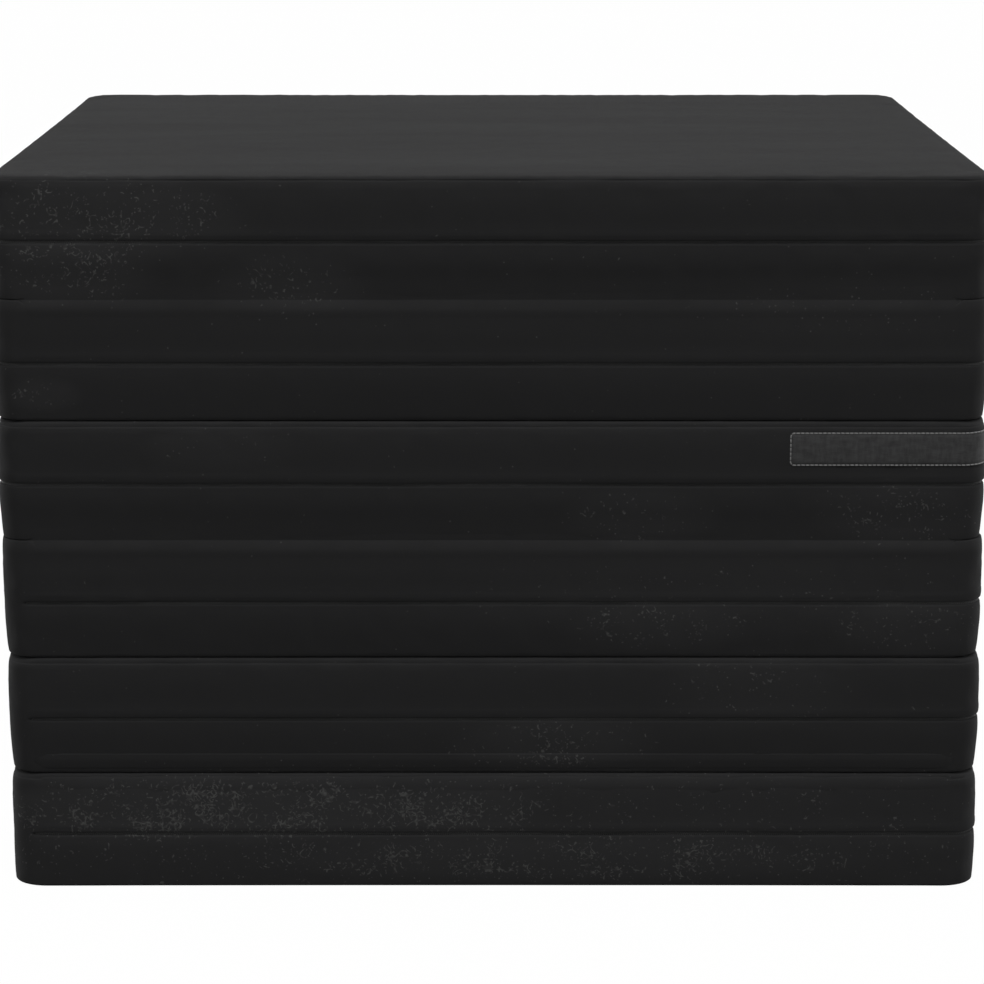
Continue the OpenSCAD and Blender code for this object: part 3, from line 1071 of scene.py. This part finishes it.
    def relief(self) -> np.ndarray:
        """Shapes the seams, the slit and the stitching.

        Returns:
            How far each point of the cover moves outwards.
        """
        lattice, form, run = self.lattice, self.lattice.form, self.lattice.run
        z, up, seed = lattice.z, lattice.z - form.zip_z, 40 * self.number
        ahead = self.past_seam(z, lattice.tilt, self.seam_angle)
        behind = self.past_seam(form.thick - z, -lattice.tilt, self.low_seam_angle)
        depth = self.seam_depth * (self.first_seam if self.number == 1 else 1.0)
        pull = 0.78 + waves(run, seed + 1, (0.30, 0.012), (0.28, 0.06))
        out = self.seam_relief(ahead, depth, self.seam_hollow) * pull
        pull = 0.8 + waves(run, seed + 3, (0.3, 0.014), (0.3, 0.05))
        out += self.seam_relief(behind, self.low_seam_depth, self.low_seam_hollow) * pull
        pucker = waves(run, seed + 5, (0.00028, 0.011), (0.00022, 0.035))
        on_face = z > form.on_round(math.radians(self.seam_angle))[1]
        out += pucker * np.exp(-((ahead / self.pucker_reach) ** 2)) * (0.4 + 0.6 * on_face)
        out = np.where(out > 0.0, out * (1.0 - self.strip_cover(0.0)), out)
        open_here = smooth_step((run - self.zip_from) / 0.004) * smooth_step((self.zip_to - run) / 0.004)
        sway = waves(run, seed + 7, (0.00022, 0.09), (0.00008, 0.012))
        out += self.zip_relief(up - sway * (np.abs(up) > 0.0012)) * open_here
        stitched = np.exp(-(((up - self.stitch_rise) / 0.0006) ** 2)) * open_here
        out -= self.stitch_groove * stitched * (1.0 + 0.5 * drift(run, 0.03, seed + 9))
        belly = self.belly * fade(((z - form.half) / form.half) ** 2, 1.0)
        out += belly * self.strip_free() * drift(run, 0.085, seed + 10)
        return np.where(lattice.on_side, out, 0.0)

    def make(self, finishes: Finishes, settle: "ClothSettling") -> bpy.types.Object:
        """Builds the cover in its place in the stack and hands it to its body.

        Args:
            finishes: All materials.
            settle: The simulated cloth's movement.

        Returns:
            The cover.
        """
        lattice, n = self.lattice, self.number
        co, out = lattice.smooth_places()
        moved = settle.at(co, n) * self.strip_free()[:, None]
        co = co + out * self.relief()[:, None] + self.snugged() + moved
        if n == 1:
            middle = fade((co[:, 0] / self.crown_half[0]) ** 2, 1.0) * fade((co[:, 1] / self.crown_half[1]) ** 2, 1.0)
            co[:, 2] += self.crown * np.sqrt(middle) * lattice.top
        mesh = lattice.mesh.copy()
        put(mesh, co + panel_origin(n))
        cover = make_piece(mesh, f"panel_cover_{n}", finishes.cover, f"panel_{n}")
        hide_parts(f"cover_top_{n}", f"cover_base_{n}")
        return cover


class ClothSettling:
    """Where a cover's cloth settles between its seams, from one simulation used for all panels.

    A copy of the panel is remeshed to an even net, held at its two seams and its zip, given a little more cloth than
    it needs and blown up softly. What moves is kept as small shifts by place.
    """

    voxel = 0.006
    frames = 20
    pressure = 4.0
    slack = 0.012
    most = 0.0008
    hold = 0.0045
    wall = 0.008

    def __init__(self, lattice: PanelLattice, still: bool) -> None:
        """Runs the simulation, unless nothing is to move.

        Args:
            lattice: The box that all covers start from.
            still: Whether to leave the simulation out.
        """
        self.form = lattice.form
        self.tree: KDTree | None = None
        if not still:
            self._settle(self._net(lattice))

    def _net(self, lattice: PanelLattice) -> bpy.types.Object:
        """Makes the panel an even net of small faces.

        Args:
            lattice: The box that all covers start from.

        Returns:
            The net.
        """
        mesh = lattice.mesh.copy()
        put(mesh, lattice.smooth_places()[0])
        net = linked("settling_net", mesh)
        remesh = net.modifiers.new("Even", "REMESH")
        remesh.mode, remesh.voxel_size = "VOXEL", self.voxel
        even = bpy.data.meshes.new_from_object(net.evaluated_get(bpy.context.evaluated_depsgraph_get()))
        net.modifiers.clear()
        net.data = even
        bpy.data.meshes.remove(mesh)
        return net

    def _settle(self, net: bpy.types.Object) -> None:
        """Blows the net up between its seams and keeps how far each place moved.

        Args:
            net: The net, which is removed at the end.
        """
        form, start = self.form, places(net.data)
        beyond = np.maximum(np.abs(start[:, 0]) - form.width / 2.0, np.abs(start[:, 1]) - form.depth / 2.0)
        lines = [np.abs(start[:, 2] - z) for z in (self.hold, form.zip_z, form.thick - self.hold)]
        seams = (beyond > -self.wall) & (np.min(lines, axis=0) < self.hold)
        held = net.vertex_groups.new(name="seams")
        held.add([int(i) for i in np.flatnonzero(seams)], 1.0, "REPLACE")
        cloth = net.modifiers.new("Settle", "CLOTH")
        made = cloth.settings
        made.quality, made.mass = 4, 0.3
        made.vertex_group_mass = held.name
        made.shrink_min = -self.slack
        made.use_pressure, made.uniform_pressure_force = True, self.pressure
        made.effector_weights.gravity = 0.0
        made.tension_stiffness = made.compression_stiffness = 20.0
        made.bending_stiffness = 0.8
        cloth.collision_settings.use_collision = False
        cloth.point_cache.frame_start, cloth.point_cache.frame_end = 1, self.frames
        for step in range(1, self.frames + 1):
            bpy.context.scene.frame_set(step)
        moves = places(net.evaluated_get(bpy.context.evaluated_depsgraph_get()).to_mesh()) - start
        bpy.context.scene.frame_set(1)
        reach = np.linalg.norm(moves, axis=1)
        LOG.info("cloth settled: middle shift %.2f mm, largest %.2f mm", np.median(reach) / MM, reach.max() / MM)
        self.moves = moves * (np.tanh(reach / self.most) * self.most / np.maximum(reach, 1e-9))[:, None]
        self.tree = KDTree(len(start))
        for index, spot in enumerate(start):
            self.tree.insert(spot, index)
        self.tree.balance()
        even = net.data
        bpy.data.objects.remove(net)
        bpy.data.meshes.remove(even)

    def at(self, co: np.ndarray, number: int) -> np.ndarray:
        """Finds the cloth's shifts at places on a panel's smooth form.

        Args:
            co: The places.
            number: The panel's number, which turns and weights the pattern so that no two panels look alike.

        Returns:
            The shifts: sideways on the panel's sides, and upwards on the top of panel 1.
        """
        moved = np.zeros_like(co)
        if self.tree is None:
            return moved
        turn = np.array([(-1.0) ** number, (-1.0) ** (number // 2), 1.0])
        half = self.form.half
        on_wall = np.abs(co[:, 2] - half) < half - self.form.fall - 1e-4
        for index in np.flatnonzero(on_wall if number > 1 else co[:, 2] > 0.002):
            near = self.tree.find_n(co[index] * turn, 4)
            weights = np.array([1.0 / (n[2] + 0.001) for n in near])
            moved[index] = (self.moves[[n[1] for n in near]] * weights[:, None]).sum(axis=0) / weights.sum()
        moved *= turn * (0.75 + 0.25 * math.sin(2.1 * number))
        moved[:, 2] *= (co[:, 2] > self.form.thick - 0.004) & (number == 1)
        return moved


@dataclass(frozen=True)
class EdgeRoute:
    """The line round a panel's side, from which bands and stitches are laid."""

    form: PanelForm

    def lay(self, run: np.ndarray, out: np.ndarray, z: np.ndarray) -> np.ndarray:
        """Finds places by the outline.

        Args:
            run: Distance along the outline from the front's middle, positive to the right.
            out: Distance outside the side's outermost line.
            z: Height above the panel's underside.

        Returns:
            The points, in the panel's own frame.
        """
        half_w, half_d = self.form.straight
        side, far = np.sign(run), np.abs(run)
        angle = np.clip((far - half_w) / self.form.corner_r, 0.0, math.pi / 2.0)
        beyond = np.maximum(far - half_w - self.form.corner_r * math.pi / 2.0, 0.0)
        reach = self.form.corner_r + out
        x = np.minimum(far, half_w) + reach * np.sin(angle)
        y = -half_d - reach * np.cos(angle) + beyond
        return np.column_stack([side * x, y, z])

    def corner_end(self) -> float:
        """Returns the run at which the side proper starts, behind the front corner."""
        return self.form.straight[0] + self.form.corner_r * math.pi / 2.0

    def side_run(self, y: float) -> float:
        """Returns the run of a place on the side, by its distance behind the panel's middle."""
        return self.corner_end() + y + self.form.straight[1]


@dataclass
class ZipClosure:
    """A panel's concealed zip: its tape, its coil of teeth, the flap's line of stitches, and the slider's pull.

    Attributes:
        number: The panel's number.
        route: The line round the panel's side.
        zip_from: Where it starts along the outline.
        zip_to: Where it ends.
    """

    number: int
    route: EdgeRoute
    zip_from: float
    zip_to: float
    tape_h: float = 0.013
    tape_t: float = 0.0008
    tape_step: float = 0.004
    tape_depth: float = 0.0026
    coil_h: float = 0.0042
    coil_t: float = 0.0014
    wire_r: float = 0.00045
    pitch: float = 0.0017
    stitch_pitch: float = 0.0032
    stitch_rise: float = 0.0101
    thread_r: float = 0.00019
    tab_r: float = 0.0032
    tab_drop: float = 0.0075
    tab_t: float = 0.0011

    def tape(self, finishes: Finishes) -> None:
        """Builds the tape: a flat woven band bent round the panel.

        Args:
            finishes: All materials.
        """
        n, length = self.number, self.zip_to - self.zip_from
        bm = bmesh.new()
        bmesh.ops.create_grid(bm, x_segments=round(length / self.tape_step), y_segments=2, size=0.5)
        bmesh.ops.solidify(bm, geom=bm.faces[:], thickness=self.tape_t)
        flat = np.array([v.co[:] for v in bm.verts])
        out = np.where(flat[:, 2] < flat[:, 2].mean(), -self.tape_t, 0.0) - self.tape_depth
        run = self.zip_from + (flat[:, 0] + 0.5) * length
        z = self.route.form.zip_z + flat[:, 1] * self.tape_h
        lay_out(bm, self.route.lay(run, out, z) + panel_origin(n))
        make_piece(as_mesh(bm, "tape"), f"zip_tape_{n}", finishes.tape, f"panel_{n}", False)

    def tooth(self) -> bmesh.types.BMesh:
        """Makes one turn of each of the two meshed coils.

        Returns:
            The turns in the making.
        """
        bm = bmesh.new()
        radius, length = self.wire_r, self.coil_h * 0.58
        for side in (-1.0, 1.0):
            made = bmesh.ops.create_cone(bm, cap_ends=True, segments=6, radius1=radius, radius2=radius, depth=length)
            turned = Matrix.Rotation(side * math.radians(16.0), 4, "Y")
            moved = Matrix.Translation((side * self.pitch / 4.0, self.coil_t / 2.0, side * self.coil_h * 0.23))
            bmesh.ops.transform(bm, verts=made["verts"], matrix=moved @ turned)
        return bm

    def coil(self, finishes: Finishes) -> None:
        """Builds the coil of teeth in front of the tape.

        Args:
            finishes: All materials.
        """
        n = self.number
        mesh = repeated(self.tooth(), self.pitch, int((self.zip_to - self.zip_from) / self.pitch))
        co = places(mesh)
        run, out = self.zip_from + self.pitch / 2.0 + co[:, 0], co[:, 1] - self.tape_depth
        put(mesh, self.route.lay(run, out, self.route.form.zip_z + co[:, 2]) + panel_origin(n))
        coil = make_piece(mesh, f"zip_coil_{n}", finishes.coil, f"panel_{n}")
        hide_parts(f"zip_{n}")

    def stitching(self, finishes: Finishes) -> None:
        """Builds the line of stitches that holds the flap above the slit.

        Args:
            finishes: All materials.
        """
        n, form = self.number, self.route.form
        count = int((self.zip_to - self.zip_from - 0.004) / self.stitch_pitch)
        mesh = repeated(stitch(self.thread_r, self.stitch_pitch * 0.72, 6), self.stitch_pitch, count)
        co, z = places(mesh), form.zip_z + self.stitch_rise
        run, out = self.zip_from + 0.003 + co[:, 0], co[:, 1] - form.bow_inset(z) - 0.0003
        put(mesh, self.route.lay(run, out, z + co[:, 2]) + panel_origin(n))
        make_piece(mesh, f"flap_stitches_{n}", finishes.dark_thread, f"panel_{n}")

    def pull_tab(self, finishes: Finishes) -> None:
        """Builds the slider's bridge and its hanging tab, on the slider's own body.

        Args:
            finishes: All materials.
        """
        low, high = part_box(f"zip_slider_{self.number}")
        centre = (low + high) / 2.0
        bm = bmesh.new()
        bridge = bmesh.ops.create_cube(bm, size=1.0)["verts"]
        bmesh.ops.scale(bm, vec=(0.0016, 0.0075, 0.0022), verts=bridge)
        bmesh.ops.translate(bm, vec=(high.x + 0.0007, centre.y, centre.z), verts=bridge)
        tab = bmesh.ops.create_circle(bm, cap_ends=True, segments=20, radius=self.tab_r)["verts"]
        for height in (0.0, -0.004):
            lowered = [v for v in tab if v.co.y < height]
            bmesh.ops.translate(bm, vec=(0.0, -self.tab_drop, 0.0), verts=lowered)
        face = next(f for f in bm.faces if len(f.verts) == len(tab))
        bmesh.ops.inset_region(bm, faces=[face], thickness=0.0007, depth=0.0)
        flat = [f for f in bm.faces if f == face or set(f.verts) & set(tab)]
        wall = bmesh.ops.extrude_face_region(bm, geom=flat)["geom"]
        raised = [v for v in wall if isinstance(v, bmesh.types.BMVert)]
        bmesh.ops.translate(bm, vec=(0.0, 0.0, self.tab_t), verts=raised)
        upright = Matrix(((0, 0, 1, 0), (1, 0, 0, 0), (0, 1, 0, 0), (0, 0, 0, 1)))
        moved = Matrix.Translation((high.x + 0.0013, centre.y, centre.z - 0.0028)) @ upright
        bmesh.ops.transform(bm, matrix=moved, verts=[v for v in bm.verts if v not in bridge])
        bmesh.ops.recalc_face_normals(bm, faces=bm.faces)
        sharp = [e for e in bm.edges if len(e.link_faces) == 2 and e.calc_face_angle(0.0) > 1.0]
        bmesh.ops.bevel(bm, geom=sharp, offset=0.00025, segments=2, profile=0.5, affect="EDGES", material=-1)
        name, body = f"slider_pull_{self.number}", f"slider_{self.number}"
        make_piece(as_mesh(bm, name), name, finishes.slider, body, False)

    def make(self, finishes: Finishes) -> None:
        """Builds the zip's pieces and dresses its slider.

        Args:
            finishes: All materials.
        """
        for build in (self.tape, self.coil, self.stitching, self.pull_tab):
            build(finishes)
        dress_node(f"zip_slider_{self.number}", finishes.slider)


@dataclass
class HingeStrip:
    """A cloth strip that joins two stacked panels along one edge of their crease.

    Attributes:
        upper: The number of the panel above the crease.
        form: The panels' outer form.
        border: Whether it lies at the front or at the back.
        tension: Whether it bridges the crease or is tucked into it.
    """

    upper: int
    form: PanelForm
    border: Border
    tension: Tension
    length: float = 0.758
    cloth: float = 0.0005
    columns: int = 150
    half_gap: float = 0.0002
    taut_heights: tuple[float, ...] = (
        17.0, 15.5, 14.0, 12.5, 11.0, 9.5, 8.0, 6.8, 5.6, 4.6, 3.8, 3.0, 2.3, 1.7, 1.2, 0.8, 0.45, 0.2, 0.0,
    )
    tucked_heights: tuple[float, ...] = (17.0, 15.5, 14.0, 12.5, 11.0, 9.5, 8.2)
    tucked_angles: tuple[float, ...] = (6.0, 14.0, 24.0, 34.0, 44.0, 54.0, 64.0, 74.0)

    def section(self) -> tuple[np.ndarray, np.ndarray]:
        """Gives the strip's outer side from its upper end to its lower end.

        Returns:
            Distances in from the sides' outermost line, and heights over the crease.
        """
        form = self.form
        if self.tension is Tension.TAUT:
            up = MM * np.array(self.taut_heights)
            proud = 0.00045 * smooth_step((up[0] - up) / 0.012) - 0.0001
            over, under = (form.taut_inset(up, above, self.upper) - proud for above in (True, False))
            meet = max(over[-1], under[-1])
            return np.concatenate([over[:-1], [meet], under[-2::-1]]), np.concatenate([up, -up[-2::-1]])
        up = MM * np.array(self.tucked_heights)
        side = form.bow_inset(up) - 0.0007 * smooth_step((up[0] - up) / 0.006) + 0.0001
        angles = np.radians(self.tucked_angles)
        rounds = np.array([form.on_round(a) for a in angles])
        side = np.concatenate([side, rounds[:, 0] - 0.0006 * np.cos(angles)])
        rise = form.thick - rounds[:, 1] - 0.0006 * np.sin(angles)
        up = np.append(np.concatenate([up, rise]) + self.half_gap, 0.0)
        side = np.append(side, side[-1] + 0.0009)
        return np.concatenate([side, side[-2::-1]]), np.concatenate([up, -up[-2::-1]])

    def make(self, finishes: Finishes) -> bpy.types.Object:
        """Builds the strip, bends it between its two panels, and lets it stand for both leaves.

        Args:
            finishes: All materials.

        Returns:
            The strip.
        """
        form, upper, lower = self.form, self.upper, self.upper + 1
        name = f"hinge_strip_{upper}_{lower}"
        taut = self.tension is Tension.TAUT
        inset, up = self.section()
        bm = bmesh.new()
        bmesh.ops.create_grid(bm, x_segments=self.columns, y_segments=len(up) - 1, size=0.5)
        flat = np.array([v.co[:] for v in bm.verts])
        row = np.rint((0.5 - flat[:, 1]) * (len(up) - 1)).astype(int)
        along, rise = flat[:, 0] * self.length, up[row]
        shift = [panel_origin(n)[0] for n in (upper, lower)]
        x = along + shift[1] + (shift[0] - shift[1]) * (0.5 + 0.5 * np.clip(rise / 0.006, -1.0, 1.0))
        drawn = form.draw * fade((2.0 * along / form.width) ** 2, 1.0) * form.draw_share(np.abs(rise))
        near, seed = np.exp(-((rise / 0.006) ** 2)) * taut, 700 + 10 * upper
        sway = near * waves(x, seed, (0.0003, 0.12), (0.00012, 0.02))
        ripple = near * waves(x, seed + 2, (0.00022, 0.015), (0.0002, 0.05))
        sunk = 0.0008 * smooth_step((np.abs(along) - self.length / 2.0 + 0.012) / 0.012)
        y = self.border.value * (form.depth / 2.0 - (inset[row] + drawn + sunk - ripple))
        crease = (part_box(f"cover_base_{upper}")[0].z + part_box(f"cover_top_{lower}")[1].z) / 2.0
        lay_out(bm, np.column_stack([x, y, crease + rise + sway]))
        if bm.faces[:][len(bm.faces) // 2].normal.y * self.border.value < 0.0:
            bmesh.ops.reverse_faces(bm, faces=bm.faces)
        bmesh.ops.solidify(bm, geom=bm.faces[:], thickness=self.cloth)
        strip = make_piece(as_mesh(bm, name), name, finishes.cover)
        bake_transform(strip)
        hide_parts(f"{name}_upper", f"{name}_lower")
        return strip


@dataclass
class SewnPatch:
    """The bare cloth patch on the third panel, sewn along its border round the right front corner."""

    route: EdgeRoute
    panel: int = 3
    front: float = 0.160
    side: float = 0.058
    low: float = 0.0626
    high: float = 0.0896
    cloth: float = 0.0006
    corner: float = 0.003
    stitch_pitch: float = 0.0036
    stitch_edge: float = 0.0004
    stitch_off: float = 0.00095
    thread_r: float = 0.00055
    thread_flat: float = 0.8
    cut_pitch: float = 0.003
    puff: float = 0.0003

    @property
    def ends(self) -> tuple[float, float]:
        """Returns the runs at which the patch starts and ends."""
        return self.route.form.width / 2.0 - self.front, self.route.corner_end() + self.side

    def on_side(self, along: np.ndarray, up: np.ndarray, off: np.ndarray) -> np.ndarray:
        """Lays places on the panel's side at a distance over its cloth.

        Args:
            along: Distance along the outline from the patch's middle.
            up: Height above the patch's middle.
            off: Distance over the cloth.

        Returns:
            The points in the stack.
        """
        z = (self.low + self.high) / 2.0 + up
        out = off - self.route.form.bow_inset(z)
        return self.route.lay(sum(self.ends) / 2.0 + along, out, z) + panel_origin(self.panel)

    def make(self, finishes: Finishes) -> None:
        """Builds the patch's cloth and the stitches over its border.

        Args:
            finishes: All materials.
        """
        start, end = self.ends
        length, height = end - start, self.high - self.low
        bm = bmesh.new()
        bmesh.ops.create_grid(bm, x_segments=1, y_segments=1, size=0.5)
        bmesh.ops.scale(bm, vec=(length, height, 1.0), verts=bm.verts[:])
        corners = bm.verts[:]
        bmesh.ops.bevel(bm, geom=corners, offset=self.corner, segments=5, profile=0.5, affect="VERTICES", material=-1)
        upright = np.arange(0.004, length - 0.002, self.cut_pitch) - length / 2.0
        level = np.linspace(-0.5, 0.5, 10)[1:-1] * (height - 0.0024)
        cuts = [((cut, 0.0, 0.0), (1.0, 0.0, 0.0)) for cut in upright]
        cuts += [((0.0, cut, 0.0), (0.0, 1.0, 0.0)) for cut in level]
        for middle, across in cuts:
            geom = bm.verts[:] + bm.edges[:] + bm.faces[:]
            bmesh.ops.bisect_plane(bm, geom=geom, plane_co=middle, plane_no=across)
        bmesh.ops.solidify(bm, geom=bm.faces[:], thickness=self.cloth)
        laid = bm.loops.layers.uv.new("cloth")
        for loop in (loop for face in bm.faces for loop in face.loops):
            loop[laid].uv = loop.vert.co.xy
        flat = np.array([v.co[:] for v in bm.verts])
        border = np.minimum(length / 2.0 - np.abs(flat[:, 0]), height / 2.0 - np.abs(flat[:, 1]))
        layer = np.where(flat[:, 2] < flat[:, 2].mean(), 0.0, self.cloth)
        wave = 0.00012 * drift(flat[:, 0], 0.02, 911) * (border > 0.002)
        off = 0.0002 + layer + self.puff * smooth_step(border / 0.003) + wave
        lay_out(bm, self.on_side(flat[:, 0], flat[:, 1], off))
        body = f"panel_{self.panel}"
        patch = make_piece(as_mesh(bm, "sewn_patch"), "sewn_patch", finishes.patch, body)
        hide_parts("patch")
        self.stitches(finishes, body)

    def stitches(self, finishes: Finishes, body: str) -> None:
        """Builds the dashed line of pale stitches along the patch's border.

        Args:
            finishes: All materials.
            body: The body that they ride on.
        """
        r = self.corner
        wide = self.ends[1] - self.ends[0] - 2.0 * self.stitch_edge
        tall = self.high - self.low - 2.0 * self.stitch_edge
        edge_w, edge_h, arc = wide - 2.0 * r, tall - 2.0 * r, math.pi * r / 2.0
        total = 2.0 * (edge_w + edge_h) + 4.0 * arc
        count = round(total / self.stitch_pitch)
        bm = stitch(self.thread_r, total / count * 0.78, 8)
        long_edges = [e for e in bm.edges if abs(e.verts[0].co.x - e.verts[1].co.x) > 0.001]
        bmesh.ops.subdivide_edges(bm, edges=long_edges, cuts=2)
        mesh = repeated(bm, total / count, count)
        co = places(mesh)
        s = np.mod(co[:, 0], total)
        spot, out = np.zeros(len(s), complex), np.zeros(len(s), complex)
        at, base = complex(-edge_w / 2.0, -tall / 2.0), 0.0
        for straight, ahead in ((edge_w, 1), (edge_h, 1j), (edge_w, -1), (edge_h, -1j)):
            on = (s >= base) & (s < base + straight)
            out[on] = -1j * ahead
            spot[on] = at + ahead * (s[on] - base)
            at, base = at + ahead * straight, base + straight
            on = (s >= base) & (s < base + arc)
            out[on] = -1j * ahead * np.exp(1j * (s[on] - base) / r)
            spot[on] = at + 1j * ahead * r + r * out[on]
            at, base = at + (1 + 1j) * ahead * r, base + arc
        flat = spot + out * co[:, 1]
        put(mesh, self.on_side(flat.real, flat.imag, self.stitch_off + co[:, 2] * self.thread_flat))
        make_piece(mesh, "patch_stitches", finishes.pale_thread, body)


@dataclass
class Studio:
    """A white studio: floor, soft light from above, weak washes from all sides, and the camera.

    Attributes:
        lamps: Each lamp's name, its place, what it points at, its side's length, and its power in watts.
    """

    camera_y: float = -2.715
    camera_z: float = 0.899
    pitch: float = 12.29
    focal_px: float = 3035.0
    photo_px: float = 984.0
    sensor: float = 36.0
    shift_y: float = -0.05
    glow: float = 1.06
    glow_share: float = 0.93
    lamps: tuple[tuple, ...] = (
        ("overhead_softbox", (0.5, -2.75, 5.6), (0.0, -0.2, 0.4), 2.6, 200.0),
        ("front_fill", (-0.3, -3.6, 1.0), (0.0, 0.0, 0.3), 2.2, 4.0),
        ("left_wash", (-2.6, 1.0, 0.31), (0.0, 0.0, 0.31), 0.5, 16.0),
        ("right_wash", (2.6, 1.0, 0.31), (0.0, 0.0, 0.31), 0.5, 16.0),
        ("back_wash", (0.0, 3.0, 0.31), (0.0, 0.0, 0.31), 0.5, 16.0),
    )

    def floor(self) -> None:
        """Lays a wide floor that the camera sees as white, with the object's shadow on it."""
        bm = bmesh.new()
        bmesh.ops.create_grid(bm, x_segments=1, y_segments=1, size=15.0)
        bmesh.ops.translate(bm, vec=(0.0, 0.0, -0.0004), verts=bm.verts[:])
        material, desk, surface = Finish((0.22, 0.22, 0.22), 0.9).start("studio_floor")
        glow = desk.node("Emission", {"Color": (1.0, 1.0, 1.0, 1.0), "Strength": self.glow})
        share = desk.math("MULTIPLY", desk.background(), self.glow_share)
        mixed = desk.node("MixShader", {0: share, 1: surface.outputs[0], 2: glow.outputs[0]})
        desk.link(mixed.outputs[0], material.node_tree.nodes["Material Output"], "Surface")
        make_piece(as_mesh(bm, "studio_floor"), "studio_floor", material, smooth=False)

    def world(self) -> None:
        """Sets a white surround for the camera and a weaker one for the light."""
        world = bpy.data.worlds.new("studio_world")
        bpy.context.scene.world = world
        world.use_nodes = True
        desk = NodeDesk(world.node_tree)
        back = world.node_tree.nodes["Background"]
        back.inputs["Color"].default_value = (1.0, 1.0, 1.0, 1.0)
        desk.link(desk.ramp(desk.background(), 0.0, 1.0, 0.12, 1.0), back, "Strength")

    def light(self) -> None:
        """Hangs the square soft lamps."""
        for name, place, aim, size, power in self.lamps:
            data = bpy.data.lights.new(name, "AREA")
            data.shape, data.size, data.energy = "SQUARE", size, power
            lamp = linked(name, data)
            lamp.location = place
            lamp.rotation_euler = (Vector(aim) - Vector(place)).to_track_quat("-Z", "Y").to_euler()

    def camera(self) -> None:
        """Places the camera at the photograph's viewing angle."""
        data = bpy.data.cameras.new("photo_camera")
        data.sensor_width = self.sensor
        data.lens = self.focal_px / self.photo_px * self.sensor
        data.shift_y = self.shift_y
        data.clip_end = 100.0
        camera = linked("photo_camera", data)
        camera.location = (0.0, self.camera_y, self.camera_z)
        camera.rotation_euler = (math.radians(90.0 - self.pitch), 0.0, 0.0)
        bpy.context.scene.camera = camera

    def make(self) -> None:
        """Sets up the whole studio."""
        bpy.context.scene.view_settings.view_transform = "Standard"
        for build in (self.floor, self.world, self.light, self.camera):
            build()


def main() -> None:
    """Builds the sofa bed and its studio, and reports each piece."""
    logging.basicConfig(level=logging.INFO, format="%(name)s: %(message)s")
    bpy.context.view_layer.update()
    Studio().make()
    finishes, form = Finishes(), PanelForm()
    lattice, route = PanelLattice(form), EdgeRoute(form)
    LOG.info("lattice has %d points", len(lattice.mesh.vertices))
    settle = ClothSettling(lattice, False)
    for number in range(1, PANELS + 1):
        zip_to = route.side_run(form.depth / 2.0 - ZIP_STOP)
        stretch = Stretch.BOTH_SIDES if number <= 3 else Stretch.RIGHT_SIDE
        zip_from = -zip_to if stretch is Stretch.BOTH_SIDES else ZIP_START - form.width / 2.0
        cover = PanelCover(number, lattice, zip_from, zip_to).make(finishes, settle)
        ZipClosure(number, route, zip_from, zip_to).make(finishes)
        dress_node(f"foam_core_{number}", finishes.foam)
        LOG.info("%s is made, with its zip", cover.name)
    for upper in range(1, PANELS):
        border = Border.FRONT if upper % 2 else Border.BACK
        tension = Tension.TAUT if upper in TAUT_CREASES else Tension.TUCKED
        strip = HingeStrip(upper, form, border, tension).make(finishes)
        LOG.info("%s is made", strip.name)
    SewnPatch(route).make(finishes)
    LOG.info("the patch is sewn on")
    bpy.data.meshes.remove(lattice.mesh)


if __name__ == "__main__":
    main()
